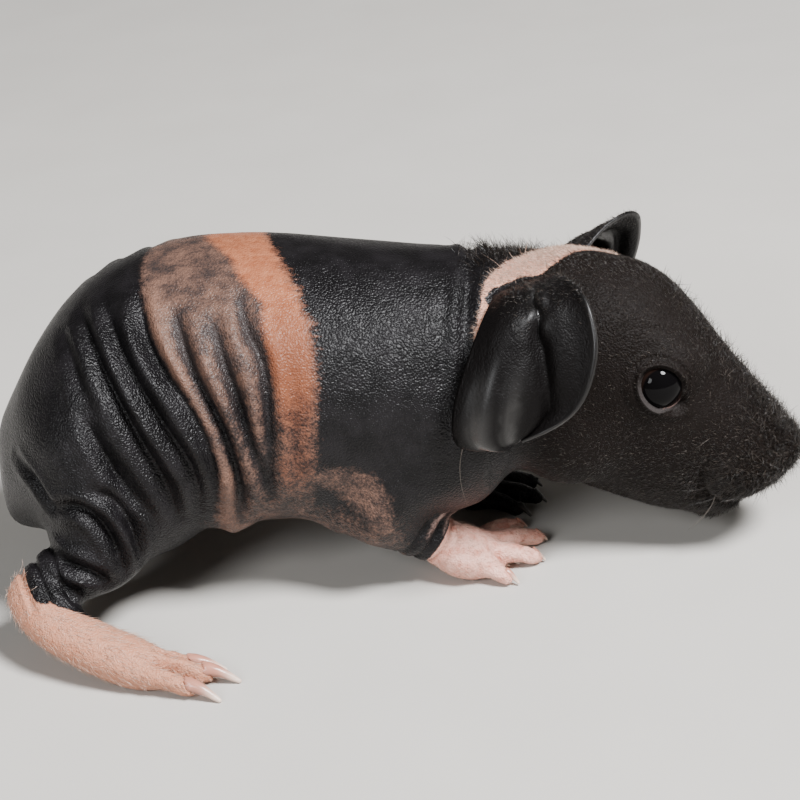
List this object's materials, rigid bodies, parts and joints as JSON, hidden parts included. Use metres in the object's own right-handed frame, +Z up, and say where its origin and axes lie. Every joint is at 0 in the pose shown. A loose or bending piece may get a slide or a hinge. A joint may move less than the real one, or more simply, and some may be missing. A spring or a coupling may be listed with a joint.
{
  "type": "skinny pig model",
  "caption": "Life-size still model of a young hairless guinea pig, standing on all feet with its right hind leg stretched back, head low and ears drooping.",
  "frame": {"origin": "on the floor, under the middle of the model's bounding box", "axes": "+X forward along the body, from rump to nose, +Y to the animal's left, +Z up"},
  "size_m": [0.1226, 0.0702, 0.0517],
  "materials": {
    "dark_skin": "charcoal bare skin, pebbly, half matt",
    "pink_skin": "pale pink bare skin, half matt",
    "claw_horn": "pale pink horn, satin",
    "eye_black": "wet, dark brown-black"
  },
  "bodies": {
    "root": {"head": "dark_skin", "neck": "dark_skin", "torso": "dark_skin", "ear_left": "dark_skin", "ear_right": "dark_skin", "eye_left": "eye_black", "eye_right": "eye_black", "leg_front_left": "dark_skin", "foot_front_left": "dark_skin", "leg_front_right": "dark_skin", "foot_front_right": "pink_skin", "leg_hind_left": "dark_skin", "foot_hind_left": "pink_skin", "leg_hind_right": "dark_skin", "foot_hind_right": "pink_skin", "claw_front_left_1": "claw_horn", "claw_front_left_2": "claw_horn", "claw_front_left_3": "claw_horn", "claw_front_left_4": "claw_horn", "claw_front_right_1": "claw_horn", "claw_front_right_2": "claw_horn", "claw_front_right_3": "claw_horn", "claw_front_right_4": "claw_horn", "claw_hind_left_1": "claw_horn", "claw_hind_left_2": "claw_horn", "claw_hind_left_3": "claw_horn", "claw_hind_right_1": "claw_horn", "claw_hind_right_2": "claw_horn", "claw_hind_right_3": "claw_horn"}
  },
  "joints": []
}
